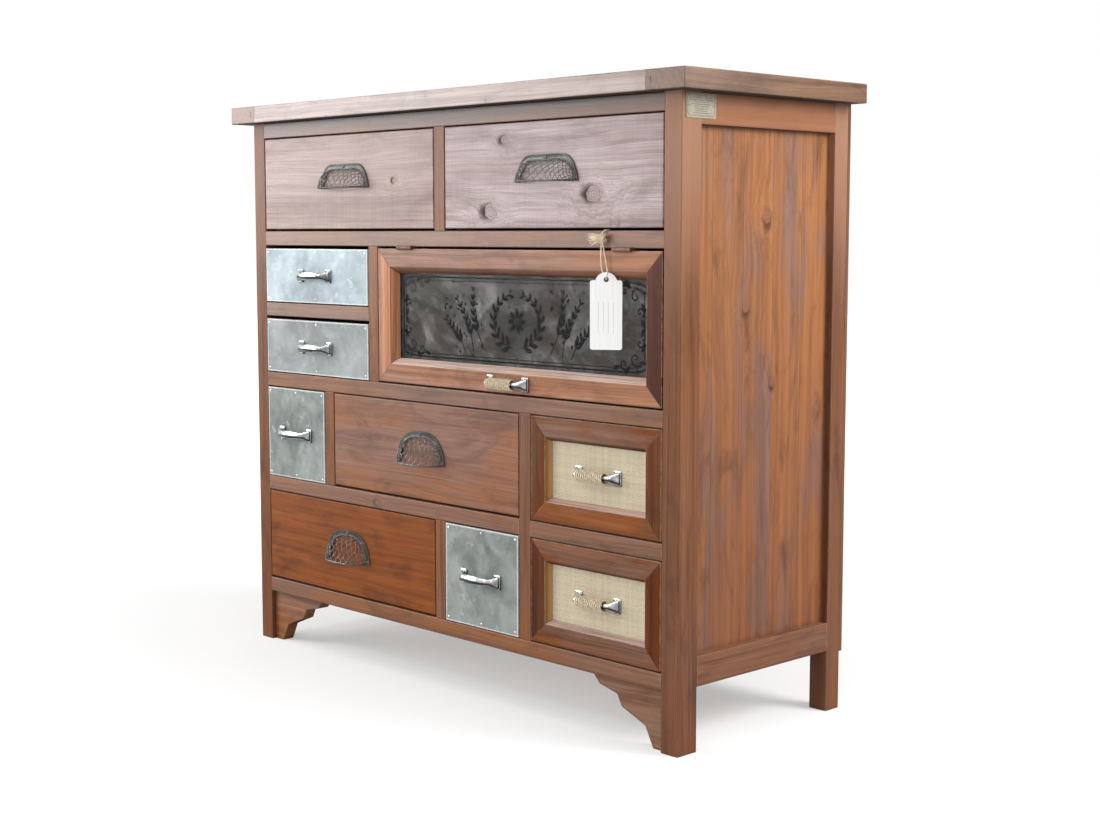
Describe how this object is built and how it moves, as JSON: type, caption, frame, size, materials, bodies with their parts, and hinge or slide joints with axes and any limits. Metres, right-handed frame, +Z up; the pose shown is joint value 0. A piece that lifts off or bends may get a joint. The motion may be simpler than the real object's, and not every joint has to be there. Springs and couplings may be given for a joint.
{
  "type": "chest of drawers",
  "caption": "Floor-standing seed storage cabinet of stained pine with wood, zinc and burlap drawer fronts, a lift-up glazed flap, cup and bow pulls, stepped bracket feet and a small hang tag.",
  "frame": {"origin": "on the floor under the middle of the object's box, tag and twine left out", "axes": "+X along the front to the right of someone facing it, +Y from the front to the back, +Z up; the fronts face -Y"},
  "size_m": [0.903, 0.342, 0.8],
  "materials": {
    "top_wood": "stained pine, worn satin",
    "frame_wood": "stained pine, worn satin",
    "pale_drawer_wood": "stained pine, greyed satin",
    "warm_drawer_wood": "stained pine, satin",
    "panel_wood": "stained pine planks, satin",
    "inner_wood": "plain pine and plywood",
    "bright_zinc": "bright galvanised sheet",
    "dull_zinc": "weathered galvanised sheet",
    "antique_iron": "dark antique finish",
    "pull_chrome": "polished",
    "jute_rope": "natural jute",
    "burlap": "coarse natural weave on board",
    "glass": "clear pane",
    "zinc_print": "zinc-coloured printed face on hardboard",
    "hinge_steel": "dull steel",
    "plate_brass": "aged",
    "tag_wood": "white paint",
    "twine": "natural jute"
  },
  "bodies": {
    "cabinet": {"back_panel": "inner_wood", "bracket_feet": "frame_wood", "carcass_rails": "frame_wood", "dust_boards": "inner_wood", "flap_hinge_fixed_leaves": "hinge_steel", "front_dividers": "frame_wood", "front_left_post": "frame_wood", "front_rails": "frame_wood", "front_right_post": "frame_wood", "guide_strips": "inner_wood", "partitions": "inner_wood", "rear_left_post": "frame_wood", "rear_right_post": "frame_wood", "side_panels": "panel_wood", "side_plate": "plate_brass", "tag_tail": "twine", "top_board": "top_wood"},
    "upper_left_drawer": {"upper_left_drawer_box": "inner_wood", "upper_left_drawer_cup_pull": "antique_iron", "upper_left_drawer_front": "pale_drawer_wood"},
    "upper_right_drawer": {"upper_right_drawer_box": "inner_wood", "upper_right_drawer_cup_pull": "antique_iron", "upper_right_drawer_front": "pale_drawer_wood"},
    "middle_drawer": {"middle_drawer_box": "inner_wood", "middle_drawer_cup_pull": "antique_iron", "middle_drawer_front": "warm_drawer_wood"},
    "lower_left_drawer": {"lower_left_drawer_box": "inner_wood", "lower_left_drawer_cup_pull": "antique_iron", "lower_left_drawer_front": "warm_drawer_wood"},
    "small_zinc_upper": {"small_zinc_upper_bow_pull": "pull_chrome", "small_zinc_upper_box": "inner_wood", "small_zinc_upper_sheet": "bright_zinc"},
    "small_zinc_lower": {"small_zinc_lower_bow_pull": "pull_chrome", "small_zinc_lower_box": "inner_wood", "small_zinc_lower_sheet": "bright_zinc"},
    "tall_zinc_left": {"tall_zinc_left_bow_pull": "pull_chrome", "tall_zinc_left_box": "inner_wood", "tall_zinc_left_sheet": "dull_zinc"},
    "tall_zinc_low": {"tall_zinc_low_bow_pull": "pull_chrome", "tall_zinc_low_box": "inner_wood", "tall_zinc_low_sheet": "dull_zinc"},
    "burlap_upper": {"burlap_upper_box": "inner_wood", "burlap_upper_frame": "frame_wood", "burlap_upper_panel": "burlap", "burlap_upper_pull": "pull_chrome", "burlap_upper_rope": "jute_rope"},
    "burlap_lower": {"burlap_lower_box": "inner_wood", "burlap_lower_frame": "frame_wood", "burlap_lower_panel": "burlap", "burlap_lower_pull": "pull_chrome", "burlap_lower_rope": "jute_rope"},
    "flap": {"flap_frame": "frame_wood", "flap_glass": "glass", "flap_backing": "zinc_print", "flap_pull": "pull_chrome", "flap_rope": "jute_rope", "flap_hinge_moving_leaves": "hinge_steel"},
    "tag": {"hang_tag": "tag_wood", "tag_twine": "twine"}
  },
  "joints": [
    {"name": "upper_left_drawer_slide", "type": "slide", "parent": "cabinet", "child": "upper_left_drawer", "axis": [0, -1, 0], "range_m": [0, 0.2]},
    {"name": "upper_right_drawer_slide", "type": "slide", "parent": "cabinet", "child": "upper_right_drawer", "axis": [0, -1, 0], "range_m": [0, 0.2]},
    {"name": "middle_drawer_slide", "type": "slide", "parent": "cabinet", "child": "middle_drawer", "axis": [0, -1, 0], "range_m": [0, 0.2]},
    {"name": "lower_left_drawer_slide", "type": "slide", "parent": "cabinet", "child": "lower_left_drawer", "axis": [0, -1, 0], "range_m": [0, 0.2]},
    {"name": "small_zinc_upper_slide", "type": "slide", "parent": "cabinet", "child": "small_zinc_upper", "axis": [0, -1, 0], "range_m": [0, 0.2]},
    {"name": "small_zinc_lower_slide", "type": "slide", "parent": "cabinet", "child": "small_zinc_lower", "axis": [0, -1, 0], "range_m": [0, 0.2]},
    {"name": "tall_zinc_left_slide", "type": "slide", "parent": "cabinet", "child": "tall_zinc_left", "axis": [0, -1, 0], "range_m": [0, 0.2]},
    {"name": "tall_zinc_low_slide", "type": "slide", "parent": "cabinet", "child": "tall_zinc_low", "axis": [0, -1, 0], "range_m": [0, 0.2]},
    {"name": "burlap_upper_slide", "type": "slide", "parent": "cabinet", "child": "burlap_upper", "axis": [0, -1, 0], "range_m": [0, 0.2]},
    {"name": "burlap_lower_slide", "type": "slide", "parent": "cabinet", "child": "burlap_lower", "axis": [0, -1, 0], "range_m": [0, 0.2]},
    {"name": "flap_lift", "type": "hinge", "parent": "cabinet", "child": "flap", "pos_m": [0, -0.1508, 0.5955], "axis": [-1, 0, 0], "range_deg": [0, 76]},
    {"name": "tag_swing", "type": "hinge", "parent": "cabinet", "child": "tag", "pos_m": [0.30477, -0.1523, 0.609], "axis": [-1, 0, 0], "range_deg": [0, 72.3]}
  ],
  "couplings": [
    {"joint": "tag_swing", "follows": "flap_lift", "ratio": 0.95}
  ]
}
